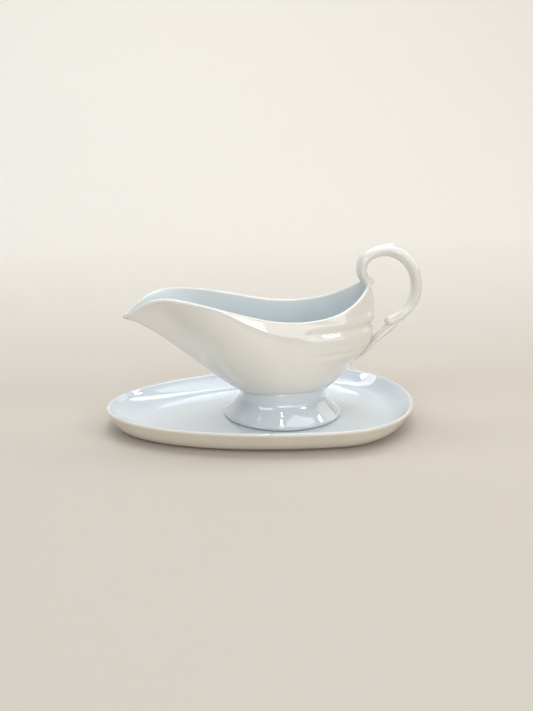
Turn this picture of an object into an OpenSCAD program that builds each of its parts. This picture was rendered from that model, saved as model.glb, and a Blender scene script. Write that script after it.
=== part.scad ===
// Porcelain sauce boat standing on its own oval underplate.
// Millimetres. X runs from the spout (-X) to the handle (+X), Z is up, and the
// origin is the middle of the underplate's length and width, on the table.

/* [Underplate] */
// Length of the underplate over its rim
plate_l = 236; // [220:1:260]
// Width of the underplate over its rim
plate_w = 161; // [145:1:175]
// Distance from the middle to the widest station, towards the handle
plate_wide_x = 47; // [0:1:55]
// Height of the rim above the table
plate_h = 17; // [14:0.5:22]
// Height of the flat well floor above the table
well_z = 6; // [5:0.5:8]
// Diameter of the rounded edge of the rim
plate_lip = 3; // [2:0.2:4]

/* [Foot] */
// Distance from the middle of the underplate to the axis of the foot
boat_x = 17; // [0:1:25]
// Diameter over the base of the foot
foot_d = 90; // [84:1:96]
// Diameter of the neck between foot and bowl
neck_d = 65; // [60:1:70]
// Height of the rounded edge of the foot
foot_edge = 3.8; // [3:0.2:5]

/* [Bowl] */
// Length of the bowl from the back of the rim to the tip of the spout
bowl_l = 184; // [170:1:200]
// Width of the bowl over the rim
bowl_w = 80; // [70:1:90]
// Height of the lowest point of the rim above the well floor
rim_low = 79; // [75:1:90]
// Thickness of the wall at the rim
rim_wall = 3.2; // [2.6:0.2:4]
// Thickness of the wall at the bottom
floor_wall = 6; // [5:0.2:7]

/* [Handle] */
// Height of the top of the loop above the well floor
loop_top = 129; // [124:1:134]
// Width of the loop's strap
strap_w = 13.5; // [11:0.5:15]
// Thickness of the loop's strap
strap_t = 8; // [6:0.5:9]

/* [Hidden] */

glaze = "white";
PLATE_SIDES = 72;
BOWL_SIDES = 64;
$fn = 72;

// ---- small helpers ---------------------------------------------------------

// Catmull-Rom blend between b and c.
function blend(a, b, c, d, u) =
  b + 0.5 * u * (c - a + u * (2 * a - 5 * b + 4 * c - d + u * (3 * (b - c) + d - a)));

// Point at parameter s on an open smooth curve through the points p.
function along(p, s) =
  let (n = len(p) - 1, k = min(floor(s * n), n - 1), u = s * n - k)
  blend(
    k == 0 ? 2 * p[0] - p[1] : p[k - 1], p[k], p[k + 1],
    k == n - 1 ? 2 * p[n] - p[n - 1] : p[k + 2], u
  );

// Point at parameter s on a closed smooth curve through the points p.
function around(p, s) =
  let (n = len(p), k = floor(s * n), u = s * n - k)
  blend(p[(k + n - 1) % n], p[k % n], p[(k + 1) % n], p[(k + 2) % n], u);

// Cubic Bezier curve.
function bezier(a, b, c, d, u) =
  pow(1 - u, 3) * a + 3 * u * pow(1 - u, 2) * b + 3 * u * u * (1 - u) * c + pow(u, 3) * d;

function unit(v) = v / norm(v);

function middle(ring) = [for (k = [0:2]) let (c = [for (p = ring) p[k]]) c * [for (v = c) 1] / len(ring)];

// Skin over a stack of closed rings that all have n points. Each end is closed
// by a fan of triangles around the point first_mid or last_mid.
module skin(rings, first_mid, last_mid) {
  n = len(rings[0]);
  m = len(rings);
  sides = [
    for (r = [0:m - 2], i = [0:n - 1])
      let (a = r * n + i, b = r * n + (i + 1) % n, c = b + n, d = a + n)
      each [[a, b, c], [a, c, d]]
  ];
  first = [for (i = [0:n - 1]) [m * n, (i + 1) % n, i]];
  last = [for (i = [0:n - 1]) [m * n + 1, (m - 1) * n + i, (m - 1) * n + (i + 1) % n]];
  polyhedron(
    points = concat(
      [for (r = rings) each r],
      [is_undef(first_mid) ? middle(rings[0]) : first_mid],
      [is_undef(last_mid) ? middle(rings[m - 1]) : last_mid]
    ),
    faces = concat(sides, first, last), convexity = 8
  );
}

// ---- underplate ------------------------------------------------------------

// Egg outline, blunt towards the handle, drawn in from the rim by `inset`.
function plate_ring(inset, z) = [
  for (i = [0:PLATE_SIDES - 1])
    let (a = 360 * i / PLATE_SIDES, end = plate_l / 2 - plate_wide_x * sign(cos(a)))
    [plate_wide_x + (end - inset) * cos(a), (plate_w / 2 - inset) * sin(a), z]
];

lip_r = plate_lip / 2;
base_inset = 12;    // edge of the flat base, in from the rim

// Section of the underplate from the flat base, up the flaring outer wall, over
// the rounded rim and down to the flat of the well, as [inset, height].
plate_section = concat(
  [[base_inset, 0], [9.5, 1.2], [6.5, 4.4], [3.6, plate_h * 0.55], [0.9, plate_h - lip_r - 1.6]],
  [for (a = [0:36:144]) [lip_r * (1 - cos(a)), plate_h - lip_r * (1 - sin(a))]],
  [[6, plate_h * 0.74], [10, well_z + 3], [14, well_z + 1], [19, well_z]]
);

module underplate() {
  color(glaze)
  skin([for (p = plate_section) plate_ring(p[0], p[1])], [0, 0, 0], [0, 0, well_z]);
}

// ---- foot ------------------------------------------------------------------

foot_r = foot_d / 2;
neck_r = neck_d / 2;
neck_z = 16;        // narrowest station of the neck, above the well floor
foot_top = 25;      // the neck is buried in the bowl up to here
foot_wall = 5;

// Turned outline of one side of the foot, [radius, height]: a rounded edge, then
// a flare that runs straight up into the neck.
foot_outer = [
  [foot_r - 1.4, 0], [foot_r - 0.3, 0.6], [foot_r, 1.4], [foot_r - 0.4, foot_edge * 0.65],
  for (u = [0:0.125:1])
    bezier(
      [foot_r - 1.8, foot_edge], [foot_r - 5, foot_edge + 3.4],
      [neck_r + 0.6, neck_z - 4], [neck_r, neck_z], u
    ),
  [neck_r, foot_top]
];
foot_inner = [
  [neck_r - 2, foot_top - 1.5], [neck_r - foot_wall, neck_z - 1],
  [foot_r - foot_wall - 7, foot_edge + 2.6], [foot_r - foot_wall - 2, 1.2], [foot_r - foot_wall - 1.4, 0]
];

module pedestal_foot() {
  color(glaze)
  translate([boat_x, 0, well_z])
  rotate_extrude()
  polygon(concat(foot_outer, foot_inner));
}

// ---- bowl ------------------------------------------------------------------

// One side of the rim from the back to the tip of the spout: distance forward
// from the back, half width, and height above the well floor.
rim_side = [
  [0, 0, 1.27], [0.05, 0.44, 1.165], [0.17, 0.78, 1.035], [0.34, 0.95, 1.0], [0.5, 1, 1.06],
  [0.65, 0.85, 1.145], [0.79, 0.55, 1.205], [0.91, 0.25, 1.17], [1, 0, 1.025]
];
back_x = 66;        // back of the rim, from the axis of the foot
rim_half = [for (p = rim_side) [back_x - bowl_l * p[0], bowl_w / 2 * p[1], rim_low * p[2]]];
rim_points = concat(rim_half, [for (i = [7:-1:1]) [rim_half[i][0], -rim_half[i][1], rim_half[i][2]]]);

// Heading of the wall around the neck for rim parameter t: it turns faster at
// the back, where the rim is close to the axis, than along the spout.
function heading(t) = 360 * t + 18 * sin(360 * t);

// How much of the spout, its keel, the back and the flanks is in the shape at heading h.
function fore(h) = pow(max(0, -cos(h)), 3);
function keel(h) = pow(max(0, -cos(h)), 5);
function aft(h) = pow(max(0, cos(h)), 3);
function flank(h) = pow(sin(h), 2);

floor_z = 11;       // middle of the wall at the bottom of the bowl, above the well floor
seam_z = 23.6;      // middle of the wall over the neck, at the spout and the back
seam_rise = 4.6;    // the same seam stands this much higher at the flanks

// Middle of the wall from the bottom centre (s = 0) over the neck (s = 0.4) to
// the rim (s = 1).
function wall(t, s) =
  let (
    h = heading(t),
    f = fore(h),
    k = keel(h),
    b = aft(h),
    w = flank(h),
    out = [cos(h), sin(h), 0],
    up = [0, 0, 1],
    bottom = floor_z * up,
    base = neck_r * out + (seam_z + seam_rise * w) * up,
    slope = unit(out + (0.5 + 0.2 * b + 0.3 * w) * up),
    lip = around(rim_points, t)
  )
  s < 0.4
  ? bezier(bottom, bottom + 18 * out, base - 12 * slope, base, s / 0.4)
  : swollen(bezier(
      base, base + (13 + 15 * f + 11 * b) * slope,
      lip + (1 + 8 * b - 24 * k + 5.5 * w) * out - (26 + 8 * b - 21 * k - 6 * w) * up, lip, (s - 0.4) / 0.6
    ), b * out);

// The back stands out by a soft swelling half way up, where the spur of the handle lands.
swell = 5.6;
swell_z = 58;
swell_spread = 10;
function swollen(p, out) = p + swell * exp(-pow((p.z - swell_z) / swell_spread, 2)) * out;

// Unit normal of the wall, pointing outwards, by differences.
function wall_normal(t, s) =
  let (d = 0.004, e = s > 0.99 ? -d : d, du = wall((t + d) % 1, s) - wall((t - d + 1) % 1, s),
       dv = (wall(t, s + e) - wall(t, s)) / e)
  unit(cross(du, dv));

// The wall is thick over the foot and thins from there to the rim.
function thickness(s) = floor_wall + (rim_wall - floor_wall) * min(1, max(0, s - 0.4) / 0.4);

function wall_side(t, s, side) = wall(t, s) + side * thickness(s) / 2 * wall_normal(t, s);

// Rounded edge of the rim, a = 0 outside to 180 inside.
function lip_point(t, a) =
  let (n = wall_normal(t, 0.99), r = rim_wall / 2, up = unit(wall(t, 1) - wall(t, 0.985)))
  wall(t, 1) + r * (cos(a) * n + sin(a) * up);

function bowl_ring(f) = [for (i = [0:BOWL_SIDES - 1]) f(i / BOWL_SIDES)];

outer_steps = [0.06, 0.2, 0.32, 0.4, 0.46, 0.52, 0.58, 0.65, 0.72, 0.79, 0.86, 0.93];
inner_steps = [0.95, 0.86, 0.77, 0.68, 0.58, 0.48, 0.4, 0.28, 0.16, 0.06];

module bowl() {
  color(glaze)
  translate([boat_x, 0, well_z])
  skin(concat(
    [for (s = outer_steps) bowl_ring(function (t) wall_side(t, s, 1))],
    [for (a = [0:36:180]) bowl_ring(function (t) lip_point(t, a))],
    [for (s = inner_steps) bowl_ring(function (t) wall_side(t, s, -1))]
  ));
}

// ---- handle ----------------------------------------------------------------

// Sweeps a section of half width w and half thickness t along a curve in the
// plane y = 0. `domed` raises the outer face.
SWEEP_SIDES = 16;
function sweep_ring(path, sizes, s) =
  let (
    p = along(path, s),
    q = along(path, min(1, s + 0.005)) - along(path, max(0, s - 0.005)),
    tangent = unit([q[0], 0, q[1]]),
    out = [-tangent[2], 0, tangent[0]],
    size = along(sizes, s)
  )
  [for (i = [0:SWEEP_SIDES - 1])
    let (a = 360 * i / SWEEP_SIDES, c = cos(a), d = sin(a))
    [p[0], 0, p[1]] + size[0] * sign(c) * pow(abs(c), 0.8) * [0, 1, 0]
      + size[1] * sign(d) * pow(abs(d), 0.8) * out];

module sweep(path, sizes, steps) {
  skin([for (k = [0:steps]) sweep_ring(path, sizes, k / steps)]);
}

half_w = strap_w / 2;
half_t = strap_t / 2;
loop_mid = loop_top - half_t - 1;

// Centre line of the loop from inside the back wall, over the top and down to
// its free lower end.
loop_path = [
  [67, 91], [64.9, 99], [61.2, 106], [60.5, 112], [64, 119], [72, loop_mid - 1], [81, loop_mid],
  [90, loop_mid - 3.5], [97.5, loop_mid - 10], [102.5, 106], [104.7, 96], [103.5, 86], [98.5, 77.5],
  [91, 72], [80.4, 68]
];
loop_sizes = [
  [half_w * 0.85, half_t * 0.4], [half_w, half_t * 0.85], [half_w, half_t * 0.9], [half_w, half_t * 0.95],
  [half_w, half_t * 1.08], [half_w, half_t * 1.08], [half_w, half_t * 1.05], [half_w * 0.95, half_t * 1.05],
  [half_w * 0.85, half_t], [half_w * 0.68, half_t * 0.9]
];

module handle_loop() {
  color(glaze)
  translate([boat_x, 0, well_z])
  sweep(loop_path, loop_sizes, 48);
}

// Spur from the lower end of the loop down along the back of the bowl.
arm_path = [
  [53.8, 39.4], [57.7, 40], [61.3, 41.8], [65.4, 46.6], [69.2, 51], [74.2, 55.9], [79, 60.2], [83.8, 64],
  [90, 68.8]
];
arm_sizes = [
  [1.8, 1.3], [2.6, 1.7], [3.2, 2], [4, 2.3], [4.6, 2.6], [4.8, 3], [4.9, 3.3], [4.6, 3.3], [3.6, 2.5]
];

module handle_lower_arm() {
  color(glaze)
  translate([boat_x, 0, well_z])
  sweep(arm_path, arm_sizes, 16);
}

curl_r = 2.6;
curl_x = 68.1;      // from the axis of the foot
curl_z = 101;       // above the well floor

module handle_curl() {
  color(glaze)
  translate([boat_x + curl_x, strap_w * 0.3, well_z + curl_z])
  rotate([90, 0, 0])
  cylinder(h = strap_w * 0.6, r = curl_r);
}

crest_path = [[75, loop_top - 3], [79, loop_top - 1.6], [83.5, loop_top - 1.4], [86.5, loop_top - 3]];
crest_sizes = [[1.5, 1], [3, 1.6], [3.4, 2], [2.4, 1]];

module handle_crest() {
  color(glaze)
  translate([boat_x, 0, well_z])
  sweep(crest_path, crest_sizes, 12);
}

// Moulded rib down the back of the bowl, pinched in the middle.
strap_path = [
  [67, 95], [68.6, 89], [68.9, 83.5], [69.8, 78], [69, 73], [68.4, 68.3], [68.8, 63.6], [67.6, 58.6],
  [65.4, 53.7], [61.4, 49.1], [57.2, 45]
];
strap_sizes = [[2.8, 1.2], [3.6, 2], [3.8, 2.4], [3.7, 2.4], [3.7, 2.2], [3, 2], [1.8, 1.2]];

module back_strap() {
  color(glaze)
  translate([boat_x, 0, well_z])
  sweep(strap_path, strap_sizes, 24);
}

underplate();
pedestal_foot();
bowl();
back_strap();
handle_loop();
handle_lower_arm();
handle_curl();
handle_crest();
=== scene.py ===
"""Porcelain sauce boat on its underplate: the visual model, its finishes and a plain studio.

Lengths are in millimetres up to piece(), which scales them to metres. Lengths in the glazes and in
the studio are in metres. X runs from the spout to the handle, Z is up, and the origin is under the
middle of the underplate. The boat's own pieces are drawn from the axis of its foot and the floor of
the well, and BOAT moves them there.
"""

import math

import bpy
import numpy as np
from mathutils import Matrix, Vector


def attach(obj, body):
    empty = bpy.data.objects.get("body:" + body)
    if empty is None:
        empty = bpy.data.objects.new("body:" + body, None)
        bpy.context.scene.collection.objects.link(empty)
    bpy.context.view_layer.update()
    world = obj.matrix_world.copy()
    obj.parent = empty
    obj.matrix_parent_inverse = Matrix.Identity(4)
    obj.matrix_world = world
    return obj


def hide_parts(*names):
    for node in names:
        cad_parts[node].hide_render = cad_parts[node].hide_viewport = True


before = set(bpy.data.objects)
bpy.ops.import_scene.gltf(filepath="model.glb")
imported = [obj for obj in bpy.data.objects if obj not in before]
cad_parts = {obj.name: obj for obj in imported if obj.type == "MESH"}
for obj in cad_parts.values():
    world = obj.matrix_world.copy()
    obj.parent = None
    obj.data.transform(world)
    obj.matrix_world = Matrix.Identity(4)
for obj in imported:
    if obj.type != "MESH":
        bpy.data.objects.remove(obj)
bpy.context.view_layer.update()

MM = 0.001
UP = np.array([0.0, 0.0, 1.0])
FOOT_X, WELL_Z = 17.0, 6.0
STAND = np.zeros(3)
BOAT = np.array([FOOT_X, 0.0, WELL_Z])

# ---- curves ------------------------------------------------------------------


def unit(v):
    return v / np.linalg.norm(v, axis=-1, keepdims=True)


def col(x):
    """A trailing axis, so that numbers per point multiply vectors per point."""
    return np.asarray(x, float)[..., None]


def smooth(x):
    """0 to 1 with no kink in its curvature."""
    x = np.clip(x, 0, 1)
    return x**3 * (x * (6 * x - 15) + 10)


def bump(x, centre, width):
    return np.exp(-(((x - centre) / width) ** 2))


def bezier(a, b, c, d, u):
    u = col(u)
    return (1 - u) ** 3 * a + 3 * u * (1 - u) ** 2 * b + 3 * u * u * (1 - u) * c + u**3 * d


def spline(points, t, closed=False):
    """Cubic spline of continuous curvature through evenly timed points, for t from 0 to 1."""
    p = np.asarray(points, float)
    n = len(p)
    a = 4 * np.eye(n) + np.eye(n, k=1) + np.eye(n, k=-1)
    if closed:
        a[0, -1] = a[-1, 0] = 1
        rhs = 3 * (np.roll(p, -1, 0) - np.roll(p, 1, 0))
        spans = n
    else:
        a[0, 0] = a[-1, -1] = 2
        rhs = 3 * (p[np.minimum(np.arange(n) + 1, n - 1)] - p[np.maximum(np.arange(n) - 1, 0)])
        spans = n - 1
    d = np.linalg.solve(a, rhs)
    x = np.asarray(t, float) * spans
    if closed:
        x = x % n
    k = np.clip(np.floor(x).astype(int), 0, spans - 1)
    j = (k + 1) % n
    u = col(x - k)
    return (
        (2 * u**3 - 3 * u * u + 1) * p[k]
        + (u**3 - 2 * u * u + u) * d[k]
        + (3 * u * u - 2 * u**3) * p[j]
        + (u**3 - u * u) * d[j]
    )


# ---- meshes ------------------------------------------------------------------


def piece(
    name, rings, body, nodes, materials, offset, pool_and_painted_light=None, hollow=False, bare_below=None
):
    """A smooth skin over rings (rows, around, 3). Fans close its end rings, or in a hollow piece
    the last ring joins the first. A number from 0 to 1 on each row, kept on the mesh, blends the
    glaze from its outer tone to its inner one. That is partly the glaze's own tint where it lies
    thick, and partly painted light: a painted warm reflection outside and painted cool shade inside.
    Faces lower than bare_below take the second material."""
    rings = np.asarray(rings, float)
    m, n, _ = rings.shape
    pool_and_painted_light = np.zeros(m) if pool_and_painted_light is None else pool_and_painted_light
    verts, values = rings.reshape(-1, 3), np.repeat(pool_and_painted_light, n)
    i = np.arange(n)
    j = (i + 1) % n
    r = np.arange(m if hollow else m - 1)[:, None] * n
    s = (r + n) % (m * n)
    faces = np.stack([r + i, r + j, s + j, s + i], -1).reshape(-1, 4).tolist()
    if not hollow:
        verts = np.concatenate([verts, [rings[0].mean(0)], [rings[-1].mean(0)]])
        values = np.concatenate([values, pool_and_painted_light[[0, -1]]])
        faces += np.stack([np.full(n, m * n), j, i], -1).tolist()
        faces += np.stack([np.full(n, m * n + 1), (m - 1) * n + i, (m - 1) * n + j], -1).tolist()
    mesh = bpy.data.meshes.new(name)
    mesh.from_pydata(((verts + offset) * MM).tolist(), [], faces)
    mesh.validate()
    mesh.polygons.foreach_set("use_smooth", [True] * len(mesh.polygons))
    for material in materials:
        mesh.materials.append(material)
    if bare_below is not None:
        height = np.array([p.center for p in mesh.polygons])[:, 2] / MM - offset[2]
        mesh.polygons.foreach_set("material_index", (height < bare_below).astype(np.int32))
    # Tone blend per point: partly the glaze's own tint where thick, partly painted warm reflection
    # outside and painted cool shade inside.
    mesh.attributes.new("glaze_pool_and_painted_light", "FLOAT", "POINT").data.foreach_set("value", values)
    mesh.update()
    ob = bpy.data.objects.new(name, mesh)
    bpy.context.scene.collection.objects.link(ob)
    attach(ob, body)
    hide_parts(*nodes)


# ---- glazes ------------------------------------------------------------------


class Nodes:
    """Short hand for a node tree."""

    def __init__(self, name):
        self.material = bpy.data.materials.new(name)
        self.material.use_nodes = True
        self.tree = self.material.node_tree
        self.shader = self.tree.nodes["Principled BSDF"]

    def add(self, kind, settings=None, **values):
        node = self.tree.nodes.new(kind)
        for key, value in (settings or {}).items():
            setattr(node, key, value)
        for key, value in values.items():
            socket = node.inputs[key.replace("_", " ")]
            if isinstance(value, bpy.types.NodeSocket):
                self.tree.links.new(value, socket)
            else:
                socket.default_value = value
        return node

    def link(self, a, b):
        self.tree.links.new(a, b)


NOISE_LOW, NOISE_HIGH = 0.3, 0.7


def noise(k, place, scale, detail):
    """Cloudy noise over the object's own space, mostly from NOISE_LOW to NOISE_HIGH."""
    return k.add("ShaderNodeTexNoise", Vector=place, Scale=scale, Detail=detail).outputs[0]


def ramp(k, value, low, high, a, b):
    """Colour that goes from a to b as the value goes from low to high."""
    node = k.add("ShaderNodeValToRGB", Fac=value)
    node.color_ramp.elements[0].position = low
    node.color_ramp.elements[1].position = high
    node.color_ramp.elements[0].color = (*a, 1)
    node.color_ramp.elements[1].color = (*b, 1)
    return node.outputs[0]


def remap(k, value, a, b, lo, hi):
    """Number that goes from lo to hi as the value goes from a to b."""
    node = k.add("ShaderNodeMapRange", Value=value)
    for i, x in enumerate((a, b, lo, hi)):
        node.inputs[i + 1].default_value = x
    return node.outputs[0]


# The colour sockets of a Mix node.
MIX_AMOUNT, MIX_A, MIX_B, MIX_RESULT = 0, 6, 7, 2


def mixed(k, amount, a, b):
    """Colour a where the amount is 0 and b, a socket or a plain colour, where it is 1."""
    mix = k.add("ShaderNodeMix", {"data_type": "RGBA"})
    k.link(amount, mix.inputs[MIX_AMOUNT])
    k.link(a, mix.inputs[MIX_A])
    if isinstance(b, bpy.types.NodeSocket):
        k.link(b, mix.inputs[MIX_B])
    else:
        mix.inputs[MIX_B].default_value = (*b, 1)
    return mix.outputs[MIX_RESULT]


def speck(k, place, colour, at, radius, tint):
    """A small fired-in speck at a point of the object, in metres."""
    away = k.add("ShaderNodeVectorMath", {"operation": "DISTANCE"})
    k.link(place, away.inputs[0])
    away.inputs[1].default_value = at
    return mixed(k, remap(k, away.outputs["Value"], radius * 0.4, radius, 1.0, 0.0), colour, tint)


def bumps(k, height, strength, distance):
    """Fine relief in the shader's normal."""
    node = k.add("ShaderNodeBump", Height=height, Strength=strength, Distance=distance)
    k.link(node.outputs[0], k.shader.inputs["Normal"])


def glaze(name, thin, thick, specks=()):
    """Clear glaze over white porcelain in two tones blended by a number kept on the mesh: the
    first warmer, the second bluer and darker. This is partly the glaze's own tint where it lies
    thick and partly painted light: a painted warm reflection on outsides, and painted cool shade
    and reflection on insides. Faint clouds of tone and a soft ripple go over it."""
    k = Nodes(name)
    place = k.add("ShaderNodeTexCoord").outputs["Object"]
    clouds = noise(k, place, 22.0, 3.0)
    # How far each point leans to the second tone: partly thick glaze, partly painted light.
    pool_and_painted_light = k.add("ShaderNodeAttribute", {"attribute_name": "glaze_pool_and_painted_light"}).outputs["Fac"]
    cloudy = [ramp(k, clouds, 0.35, 0.65, [c * CLOUD for c in tone], tone) for tone in (thin, thick)]
    colour = mixed(k, pool_and_painted_light, *cloudy)
    for at, radius, tint in specks:
        colour = speck(k, place, colour, at, radius, tint)
    k.link(colour, k.shader.inputs["Base Color"])
    smears = remap(k, noise(k, place, 60.0, 2.0), NOISE_LOW, NOISE_HIGH, 0.03, 0.06)
    k.link(smears, k.shader.inputs["Roughness"])
    k.shader.inputs["IOR"].default_value = 1.55
    k.shader.inputs["Subsurface Weight"].default_value = 0.2
    k.shader.inputs["Subsurface Radius"].default_value = (1.0, 0.8, 0.6)
    k.shader.inputs["Subsurface Scale"].default_value = 0.0015
    k.shader.inputs["Coat Weight"].default_value = 0.6
    k.shader.inputs["Coat Roughness"].default_value = 0.01
    bumps(k, noise(k, place, 45.0, 1.0), 0.15, 0.0006)
    return k.material


def biscuit():
    """The bare clay of the ring that a piece stands on in the kiln."""
    k = Nodes("bare_porcelain")
    place = k.add("ShaderNodeTexCoord").outputs["Object"]
    grain = noise(k, place, 900.0, 4.0)
    clay = ramp(k, grain, NOISE_LOW, NOISE_HIGH, (0.60, 0.57, 0.51), (0.72, 0.70, 0.65))
    k.link(clay, k.shader.inputs["Base Color"])
    k.link(remap(k, grain, NOISE_LOW, NOISE_HIGH, 0.55, 0.75), k.shader.inputs["Roughness"])
    bumps(k, grain, 0.3, 0.0002)
    return k.material


CLOUD = 0.975
IRON, FAINT = (0.10, 0.05, 0.025), (0.45, 0.40, 0.34)
RIM_SPECK = ((-0.0050, -0.0745, 0.0168), 0.0014, IRON)
SPOUT_SPECK = ((-0.078, -0.0165, 0.1005), 0.0007, FAINT)
# The plate's and bowl's first tones, on outsides, are warmer and darker as painted reflection and
# shade of a warm floor below. Their second tones, on insides and in the well, are bluer and darker as
# painted cool shade and reflection, over the glaze's own slight tint.
plate_glaze = glaze("underplate_glaze", (0.675, 0.625, 0.53), (0.63, 0.685, 0.72), [RIM_SPECK])
# The foot's glaze is a darker, bluer copy of the same porcelain: painted shade and painted cool
# reflection under the bowl.
foot_glaze = glaze("foot_glaze", (0.635, 0.67, 0.685), (0.625, 0.65, 0.665))
bowl_glaze = glaze("bowl_glaze", (0.745, 0.715, 0.645), (0.64, 0.69, 0.70), [SPOUT_SPECK])
handle_glaze = glaze("handle_glaze", (0.74, 0.725, 0.68), (0.76, 0.77, 0.78))
bare = biscuit()

# ---- underplate --------------------------------------------------------------

PLATE_L, PLATE_W, PLATE_H = 236.0, 161.0, 17.0
WIDE_X = 47.0
LIP_R = 1.5
PLATE_AROUND = 288


def plate_outline(inset, z, round_end=0.0):
    """Egg outline, blunt towards the handle, drawn in from the rim by inset. At the narrow end
    round_end draws it in further."""
    a = 2 * np.pi * np.arange(PLATE_AROUND) / PLATE_AROUND
    end = np.where(np.cos(a) >= 0, PLATE_L / 2 - WIDE_X, PLATE_L / 2 + WIDE_X)
    inset = inset + round_end * np.maximum(0, -np.cos(a)) ** 2
    x = WIDE_X + (end - inset) * np.cos(a)
    y = (PLATE_W / 2 - inset) * np.sin(a)
    return np.stack([x, y, np.full_like(a, z)], -1)


def path(points, steps):
    """Points along a smooth curve through some (inset or radius, height) points."""
    return spline(points, np.linspace(0, 1, steps))


def drawn(section, most=0.0, start=0.0, span=1.0):
    """Outlines along a section of (inset, height) points. From the inset start on, their narrow
    end is drawn in further, by most once the inset is a span past it."""
    return [plate_outline(inset, z, most * smooth((inset - start) / span)) for inset, z in section]


RING_IN, RING_OUT = 24.0, 13.5
under = np.concatenate(
    [
        path([[70, 1.9], [50, 1.9], [30, 1.85]], 6),
        path(
            [
                [RING_IN + 2.2, 1.6], [RING_IN + 0.7, 0.9], [RING_IN - 0.2, 0.15], [RING_IN - 1.6, 0],
            ],
            9,
        ),
        [[RING_IN - 3.0, 0.0], [RING_OUT + 2.4, 0.0], [RING_OUT + 1.2, 0.0], [RING_OUT + 0.5, 0.15]],
    ]
)
outside = path([[RING_OUT, 0.55], [10.2, 1.6], [7.0, 4.1], [4.4, 7.6], [2.3, 11.3], [0.5, 14.3]], 30)
lip = [
    [LIP_R * (1 - math.cos(a)), PLATE_H - LIP_R * (1 - math.sin(a))]
    for a in np.radians(np.arange(0, 131, 10))
]
inside = np.concatenate(
    [
        path(
            [
                [3.4, 15.6], [5.6, 13.2], [8.2, 10.6], [11, 8.4], [14.2, 6.8], [18.5, 6.1],
                [24, WELL_Z],
            ],
            44,
        ),
        path([[30, WELL_Z], [46, WELL_Z], [68, WELL_Z]], 6),
    ]
)
rows = drawn(under, 2.0, 4.0, 12.0) + drawn(outside) + drawn(lip) + drawn(inside, 6.0, 3.0, 14.0)
# Tone blend per row: 0 under and outside, where the warmer tone is a painted warm reflection, rising
# over the lip to 1 in the well, where the bluer tone is painted cool reflection, along with the
# glaze's own tint.
pool_and_painted_light = np.concatenate(
    [np.zeros(len(under) + len(outside)), np.linspace(0, 1, len(lip)), np.ones(len(inside))]
)
piece(
    "underplate_body", rows, "stand", ["underplate"], [plate_glaze, bare], STAND,
    pool_and_painted_light=pool_and_painted_light, bare_below=0.05,
)

# ---- foot --------------------------------------------------------------------

FOOT_R = 45.0
NECK_R = 32.5
NECK_Z = 16.0
FOOT_EDGE = 3.8
FOOT_TOP = 25.0
FOOT_AROUND = 192


def turned(profile):
    """Rings round the axis of the foot through (radius, height) points."""
    a = 2 * np.pi * np.arange(FOOT_AROUND) / FOOT_AROUND
    return [np.stack([r * np.cos(a), r * np.sin(a), np.full_like(a, z)], -1) for r, z in profile]


inner = path([[26.5, 24.0], [26.8, 17.0], [29.0, 11.5], [33.0, 6.2], [36.8, 2.6], [38.3, 0.5]], 30)
outer_side = np.concatenate(
    [
        [[38.6, 0.12], [39.2, 0.0], [41.5, 0.0], [43.3, 0.05]],
        path(
            [[44.3, 0.35], [44.85, 0.85], [45, 1.5], [44.75, 2.35], [44.1, 3.15], [43.2, 3.85]], 16
        ),
        bezier(
            np.array([42.9, 4.05]), np.array([FOOT_R - 5.2, FOOT_EDGE + 2.9]),
            np.array([NECK_R + 0.5, NECK_Z - 4.4]), np.array([NECK_R, NECK_Z + 0.5]),
            np.linspace(0, 1, 34),
        ),
        path([[NECK_R, 18.5], [NECK_R, FOOT_TOP]], 4),
    ]
)
inner_top = [[NECK_R - 1, FOOT_TOP], [28.0, FOOT_TOP]]
piece(
    "foot_body", turned(np.concatenate([inner, outer_side, inner_top])), "boat",
    ["pedestal_foot"], [foot_glaze, bare], BOAT, hollow=True, bare_below=0.06,
)

# ---- bowl --------------------------------------------------------------------

BOWL_L, BOWL_W, RIM_LOW = 184.0, 80.0, 79.0
BACK_X = 66.0
RIM_WALL, FLOOR_WALL = 3.2, 6.0
FLOOR_Z, SEAM_Z, SEAM_RISE = 11.0, 23.6, 4.6
SEAM = 0.4
THINNING = 0.45
SWELL, SWELL_Z, SWELL_SPREAD = 5.2, 57.0, 9.5
TURN = math.radians(18)
BOWL_AROUND = 336

# One side of the rim from the back to the tip of the spout, as distance forward, half width and
# height over the bowl's length, half width and lowest rim.
RIM_SIDE = [
    [0, 0, 1.27], [0.05, 0.44, 1.165], [0.17, 0.78, 1.035], [0.34, 0.95, 1.0], [0.5, 1, 1.06],
    [0.65, 0.85, 1.145], [0.79, 0.55, 1.205], [0.91, 0.25, 1.17], [1, 0, 1.025],
]
half_rim = [[BACK_X - BOWL_L * x, BOWL_W / 2 * y, RIM_LOW * z] for x, y, z in RIM_SIDE]
RIM = half_rim + [[x, -y, z] for x, y, z in half_rim[7:0:-1]]


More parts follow.
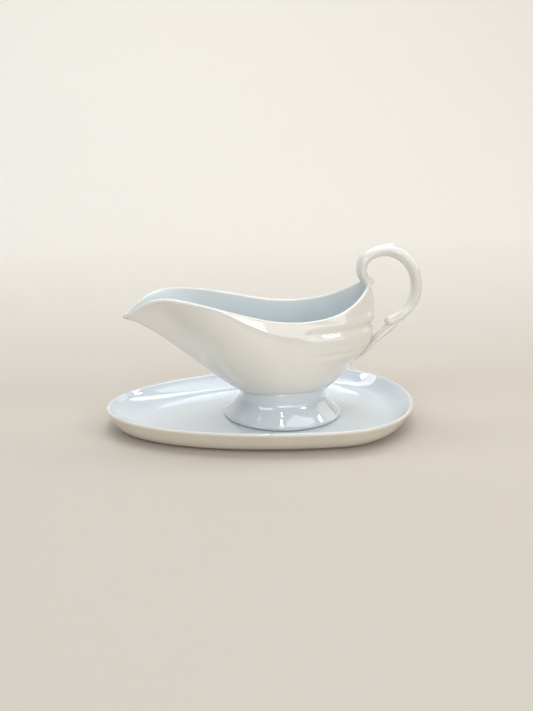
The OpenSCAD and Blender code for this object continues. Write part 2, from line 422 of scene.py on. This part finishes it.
def wall(t, s):
    """Middle of the bowl's wall. t runs round the rim from the back, s from the bottom centre
    over the foot's neck (SEAM) to the rim (1). f, k, b and w are how much of the spout, its keel,
    the back and the flanks is in the shape at the heading h. The plain numbers are how far, in
    millimetres, the inner control points of the two curves stand off their ends."""
    t, s = np.broadcast_arrays(np.asarray(t, float), np.asarray(s, float))
    h = 2 * np.pi * t + TURN * np.sin(2 * np.pi * t)
    out = np.stack([np.cos(h), np.sin(h), 0 * h], -1)
    f = np.maximum(0, -np.cos(h)) ** 3
    k = np.maximum(0, -np.cos(h)) ** 5
    b = np.maximum(0, np.cos(h)) ** 3
    w = np.sin(h) ** 2
    bottom = FLOOR_Z * UP
    base = NECK_R * out + col(SEAM_Z + SEAM_RISE * w) * UP
    slope = unit(out + col(0.5 + 0.2 * b + 0.3 * w) * UP)
    lip = spline(RIM, t, closed=True)
    low = bezier(bottom, bottom + 18 * out, base - 12 * slope, base, np.minimum(s / SEAM, 1))
    high = bezier(
        base,
        base + col(13 + 15 * f + 11 * b) * slope,
        lip + col(1 + 8 * b - 24 * k + 5.5 * w) * out - col(26 + 8 * b - 21 * k - 6 * w) * UP,
        lip,
        np.maximum(0, (s - SEAM) / (1 - SEAM)),
    )
    high = high + col(SWELL * b * bump(high[..., 2], SWELL_Z, SWELL_SPREAD)) * out
    return np.where(col(s) < SEAM, low, high)


def half_thickness(s):
    """The wall is thick over the foot and thins from there towards the rim."""
    return (FLOOR_WALL + (RIM_WALL - FLOOR_WALL) * smooth((s - SEAM) / THINNING)) / 2


def wall_normal(t, s):
    """Unit normal of the wall, pointing outwards, by differences."""
    d = 0.002
    s = np.clip(s, d, 1 - d)
    return unit(np.cross(wall(t + d, s) - wall(t - d, s), wall(t, s + d) - wall(t, s - d)))


# Height of each moulding on the bowl, from the top one down, and the stretches of X over which
# they fade in from the middle of the bowl and stand out more at its back.
UPPER_RIDGE, GROOVE, LOWER_RIDGE, SCORED_LINE, FAINT_ROLL = 76.5, 71.2, 65.5, 54.5, 51.0
FADE_IN = 34
BACK_FROM, BACK_OVER = 50, 18


def moulding(p):
    """How far the mouldings round the handle end stand out from the outside of the bowl: two soft
    ridges with a groove between them, and a faint line and roll lower down."""
    z = p[..., 2]
    back = smooth((p[..., 0] - BACK_FROM) / BACK_OVER)
    shape = (0.55 + 1.7 * back) * bump(z, UPPER_RIDGE, 2.6 + 1.2 * back) - 0.75 * bump(z, GROOVE, 2.2)
    shape = shape + (0.75 + 0.6 * back) * bump(z, LOWER_RIDGE, 3.4)
    shape = shape - 0.35 * bump(z, SCORED_LINE, 1.8) + 0.2 * bump(z, FAINT_ROLL, 2.5)
    return shape * smooth(p[..., 0] / FADE_IN)


def skin_of_bowl(t):
    """Rows from the bottom centre outside, over the rim, to the bottom centre inside, and a tone
    blend for each: 0 outside, rising over the lip to a half and to 1 just below the rim inside.
    This is partly the glaze's tint where it lies thick, and partly painted light: painted cool shade
    and reflection inside."""
    s_out = np.concatenate([np.linspace(0.03, SEAM, 14)[:-1], np.linspace(SEAM, 0.992, 110)])
    s_in = np.concatenate([np.linspace(0.992, SEAM, 90), np.linspace(SEAM, 0.02, 26)[1:]])

    def side(s, sign):
        T, S = np.meshgrid(t, s)
        mid, n = wall(T, S), wall_normal(T, S)
        p = mid + sign * col(half_thickness(S)) * n
        return p + col(moulding(p)) * n if sign > 0 else p

    top = wall(t, np.ones_like(t))
    n = wall_normal(t, np.full_like(t, 0.998))
    along = unit(top - wall(t, np.full_like(t, 0.99)))
    arc = np.radians(np.arange(0, 181, 12))
    lip = [top + RIM_WALL / 2 * (math.cos(a) * n + math.sin(a) * along) for a in arc]
    # Inside the bowl the bluer, darker tone is painted cool shade and reflection, with a little real
    # tint of thick glaze.
    inner_pool_and_painted_light = 0.5 + 0.5 * smooth((1 - s_in) / 0.04)
    pool_and_painted_light = np.concatenate([np.zeros(len(s_out)), np.linspace(0, 0.5, len(lip)), inner_pool_and_painted_light])
    return np.concatenate([side(s_out, 1), lip, side(s_in, -1)]), pool_and_painted_light


bowl_rows, bowl_pool_and_painted_light = skin_of_bowl(np.arange(BOWL_AROUND) / BOWL_AROUND)
piece("bowl_body", bowl_rows, "boat", ["bowl"], [bowl_glaze], BOAT, pool_and_painted_light=bowl_pool_and_painted_light)

# ---- handle ------------------------------------------------------------------

SWEEP_SIDES = 64
EDGE_FROM, EDGE_OVER = 0.78, 0.17


def sweep(points, sizes, steps, edge, cap):
    """Rings along a curve in the plane y = 0 through (x, z) points. sizes holds the half width,
    the outer and the inner half thickness along it. edge is 1 for an oval section and more for
    one with sharper sides, at the start and the end, and changes over a stretch near the end. cap
    is the length over which each end is rounded off."""
    fine = np.linspace(0, 1, 2001)
    line = spline(points, fine)
    run = np.concatenate([[0], np.cumsum(np.linalg.norm(np.diff(line, axis=0), axis=1))])
    length = run[-1]
    bends = 1 - np.cos(np.linspace(0, np.pi / 2, 14))
    stations = np.concatenate(
        [
            cap[0] * bends,
            np.linspace(cap[0], length - cap[1], steps)[1:-1],
            length - cap[1] * bends[::-1],
        ]
    )
    t = np.interp(stations, run, fine)
    p = spline(points, t)
    q = spline(points, np.minimum(t + 0.002, 1)) - spline(points, np.maximum(t - 0.002, 0))
    q = unit(q)
    size = spline(sizes, t)
    start = np.clip(1 - stations / cap[0], 0, 1)
    stop = np.clip(1 - (length - stations) / cap[1], 0, 1)
    roundness = np.sqrt(np.maximum(1 - start**2, 0) * np.maximum(1 - stop**2, 0)) + 0.01
    a = 2 * np.pi * np.arange(SWEEP_SIDES) / SWEEP_SIDES
    c, d = np.cos(a), np.sin(a)
    sharp = edge[0] + (edge[1] - edge[0]) * smooth((t - EDGE_FROM) / EDGE_OVER)
    rings = []
    for k in range(len(t)):
        w, up_t, down_t = size[k] * roundness[k]
        side = w * c
        off = np.where(d >= 0, up_t, -down_t) * np.abs(d) ** sharp[k]
        x = p[k, 0] - q[k, 1] * off
        z = p[k, 1] + q[k, 0] * off
        rings.append(np.stack([x, side, z], -1))
    return rings


def handle(name, node, rings):
    piece(name, rings, "boat", [node], [handle_glaze], BOAT)


LOOP = [
    [67.6, 87], [66.6, 93], [64.2, 99.5], [60.7, 106], [60.0, 112.5], [63.3, 119.1], [71.5, 123.6],
    [81, 124.6], [90.2, 121.0], [97.4, 114.2], [102.2, 105.7], [104.1, 96.0], [102.9, 86.6],
    [98.3, 78.3], [91.0, 72.0], [80.2, 67.9],
]
LOOP_SIZES = [
    [4.6, 0.9, 0.9], [5.8, 1.8, 2.2], [6.6, 2.8, 3.8], [7.0, 3.2, 4.6], [7.0, 3.4, 4.7],
    [7.0, 3.8, 4.7], [7.0, 4.2, 4.9], [7.0, 4.2, 5.2], [7.0, 4.3, 4.9], [7.0, 4.5, 4.3],
    [7.0, 4.6, 4.1], [6.8, 4.6, 4.1], [6.3, 4.4, 4.1], [5.6, 3.9, 3.9], [4.9, 3.9, 3.7],
    [4.6, 4.0, 3.9],
]
handle("handle_loop_body", "handle_loop", sweep(LOOP, LOOP_SIZES, 220, (1.35, 1.0), (2.0, 4.0)))

ARM = [
    [54.4, 40.2], [58.0, 40.7], [61.3, 42.2], [65.4, 46.6], [69.2, 51.0], [74.2, 55.9], [79.0, 60.2],
    [83.8, 64.0], [90, 68.8],
]
ARM_SIZES = [
    [1.8, 1.3, 1.3], [2.6, 1.7, 1.7], [3.2, 1.9, 2.0], [4.0, 2.2, 2.4], [4.6, 2.5, 2.6],
    [4.8, 3.0, 2.9], [4.9, 3.3, 3.3], [4.6, 3.2, 3.4], [3.6, 2.4, 2.6],
]
handle("handle_arm_body", "handle_lower_arm", sweep(ARM, ARM_SIZES, 90, (1.1, 1.1), (3.0, 3.0)))

CUT_ACROSS = 0.6


def back_of_bowl(s, depth):
    """The line down the middle of the bowl's back, sunk by depth under its outside. It cuts
    across the mouldings instead of following them all the way in and out."""
    t = np.zeros_like(s)
    mid, n = wall(t, s), wall_normal(t, s)
    p = mid + col(half_thickness(s)) * n
    return (p + col(CUT_ACROSS * moulding(p) - depth) * n)[:, [0, 2]]


STRAP_SIZES = [
    [2.8, 1.4, 1.4], [3.4, 1.9, 1.6], [3.7, 2.1, 1.6], [3.8, 2.2, 1.6], [3.6, 2.1, 1.6],
    [3.7, 2.1, 1.6], [3.4, 1.9, 1.5], [2.8, 1.5, 1.3], [1.6, 0.9, 0.9],
]
STRAP = back_of_bowl(np.linspace(0.965, 0.60, 18), 0.7)
handle("back_strap_body", "back_strap", sweep(STRAP, STRAP_SIZES, 120, (1.0, 1.0), (3.0, 6.0)))

CREST = [[74.5, 125.6], [79, 127.3], [83.5, 127.6], [86.8, 125.9]]
CREST_SIZES = [[1.2, 0.8, 0.8], [3.0, 1.6, 1.6], [3.6, 2.0, 2.0], [2.6, 1.3, 1.3]]
handle("handle_crest_body", "handle_crest", sweep(CREST, CREST_SIZES, 40, (1.0, 1.0), (4.0, 1.6)))

# The curl is a short roll across the strap where the loop leaves the back of the rim.
CURL_X, CURL_Z, CURL_R, CURL_HALF = 68.1, 100.8, 2.5, 3.9
CURL_AROUND = 48
turns = np.linspace(0, np.pi, 25)
stations = -CURL_HALF * np.cos(turns)
radii = CURL_R * np.clip(np.sin(turns), 0.02, 1) ** 0.5
a = 2 * np.pi * np.arange(CURL_AROUND) / CURL_AROUND
curl = [
    np.stack([CURL_X + r * np.sin(a), np.full_like(a, y), CURL_Z + r * np.cos(a)], -1)
    for y, r in zip(stations, radii)
]
handle("handle_curl_body", "handle_curl", curl)

# ---- studio ------------------------------------------------------------------

FLOOR_TONE, WALL_TONE = (0.53, 0.475, 0.41), (0.70, 0.665, 0.61)


def floor_paint():
    """Matt paint, paler behind the object and up the wall than around it."""
    k = Nodes("floor_paint")
    place = k.add("ShaderNodeSeparateXYZ", Vector=k.add("ShaderNodeTexCoord").outputs["Object"])
    run = k.add("ShaderNodeMath", {"operation": "ADD"})
    k.link(place.outputs["Y"], run.inputs[0])
    k.link(place.outputs["Z"], run.inputs[1])
    k.link(ramp(k, run.outputs[0], 0.08, 0.75, FLOOR_TONE, WALL_TONE), k.shader.inputs["Base Color"])
    k.shader.inputs["Roughness"].default_value = 0.6
    return k.material


def backdrop():
    """A pale floor that sweeps up into a wall behind the object, a hair below the table plane."""
    near, depth, high, radius, half, below = -6.0, 1.3, 2.4, 0.6, 4.0, 0.0002
    arc = np.linspace(0, np.pi / 2, 24)
    line = [(near, 0.0), (depth - radius, 0.0)]
    line += [(depth - radius + radius * math.sin(x), radius * (1 - math.cos(x))) for x in arc[1:]]
    line += [(depth, high)]
    verts = [(x, y, z - below) for y, z in line for x in (-half, half)]
    faces = [(2 * k, 2 * k + 1, 2 * k + 3, 2 * k + 2) for k in range(len(line) - 1)]
    mesh = bpy.data.meshes.new("floor")
    mesh.from_pydata(verts, [], faces)
    mesh.polygons.foreach_set("use_smooth", [True] * len(faces))
    mesh.materials.append(floor_paint())
    ob = bpy.data.objects.new("floor", mesh)
    bpy.context.scene.collection.objects.link(ob)


def soft_light(name, place, aim, size, power, colour):
    data = bpy.data.lights.new(name, "AREA")
    data.shape = "RECTANGLE"
    data.size, data.size_y = size
    data.energy = power
    data.color = colour
    ob = bpy.data.objects.new(name, data)
    ob.location = place
    ob.rotation_mode = "QUATERNION"
    ob.rotation_quaternion = (Vector(aim) - Vector(place)).to_track_quat("-Z", "Y")
    bpy.context.scene.collection.objects.link(ob)


MIDDLE = (0.0, 0.0, 0.06)
COOL, NEUTRAL, WARM = (0.90, 0.95, 1.0), (0.98, 0.99, 1.0), (1.0, 0.94, 0.86)
WALL_WARM = (1.0, 0.97, 0.93)


def around(azimuth, elevation, distance):
    """A point seen from the object: azimuth 0 is in front (-Y) and 90 at its right (+X)."""
    a, e = math.radians(azimuth), math.radians(elevation)
    level = distance * math.cos(e)
    return (level * math.sin(a), -level * math.cos(a), MIDDLE[2] + distance * math.sin(e))


backdrop()
soft_light("front", around(16, 16, 2.0), MIDDLE, (3.3, 0.70), 14.0, NEUTRAL)
soft_light("front_right", around(50, 32, 1.8), MIDDLE, (0.45, 0.22), 3.5, WARM)
soft_light("overhead", (0.15, 0.20, 1.5), MIDDLE, (1.7, 0.9), 11.5, COOL)
soft_light("left", around(-58, 36, 1.7), MIDDLE, (1.0, 0.45), 5.5, COOL)
soft_light("right", around(112, 22, 1.8), MIDDLE, (1.0, 1.0), 4.0, WARM)
soft_light("wall_wash", (0.0, 0.6, 0.9), (0.0, 1.3, 0.6), (3.4, 0.5), 2.5, WALL_WARM)
soft_light("back_top", (0.0, 0.7, 1.35), MIDDLE, (2.4, 0.3), 8.0, NEUTRAL)
for row in range(3):
    soft_light(f"blind_{row}", around(-6, 7.5 + 4.0 * row, 1.6), MIDDLE, (1.1, 0.07), 1.3, NEUTRAL)
    soft_light(f"lamp_{row}", around(-10, 58 + 10 * row, 1.3), MIDDLE, (0.07, 0.10), 0.5, NEUTRAL)
soft_light("side_window", around(103, 44, 1.4), MIDDLE, (0.10, 0.14), 1.0, NEUTRAL)
soft_light("back_window", around(-112, 49, 1.5), MIDDLE, (0.14, 0.14), 1.0, COOL)

SKY, SKY_STRENGTH = (0.80, 0.84, 0.90, 1), 0.26
world = bpy.data.worlds.new("room")
bpy.context.scene.world = world
world.use_nodes = True
world.node_tree.nodes["Background"].inputs[0].default_value = SKY
world.node_tree.nodes["Background"].inputs[1].default_value = SKY_STRENGTH

TARGET = Vector((0.00461, 0.0, 0.0518))
AZIMUTH, PITCH, DISTANCE = math.radians(-10), math.radians(16.4), 0.762
SENSOR, FOCAL = 36.0, 50.63
back = Vector(
    (math.sin(AZIMUTH) * math.cos(PITCH), -math.cos(AZIMUTH) * math.cos(PITCH), math.sin(PITCH))
)
lens = bpy.data.cameras.new("camera")
lens.sensor_width = SENSOR
lens.lens = FOCAL
camera = bpy.data.objects.new("camera", lens)
camera.location = TARGET + DISTANCE * back
camera.rotation_mode = "QUATERNION"
camera.rotation_quaternion = (-back).to_track_quat("-Z", "Y")
bpy.context.scene.collection.objects.link(camera)
bpy.context.scene.camera = camera
bpy.context.scene.view_settings.view_transform = "Standard"
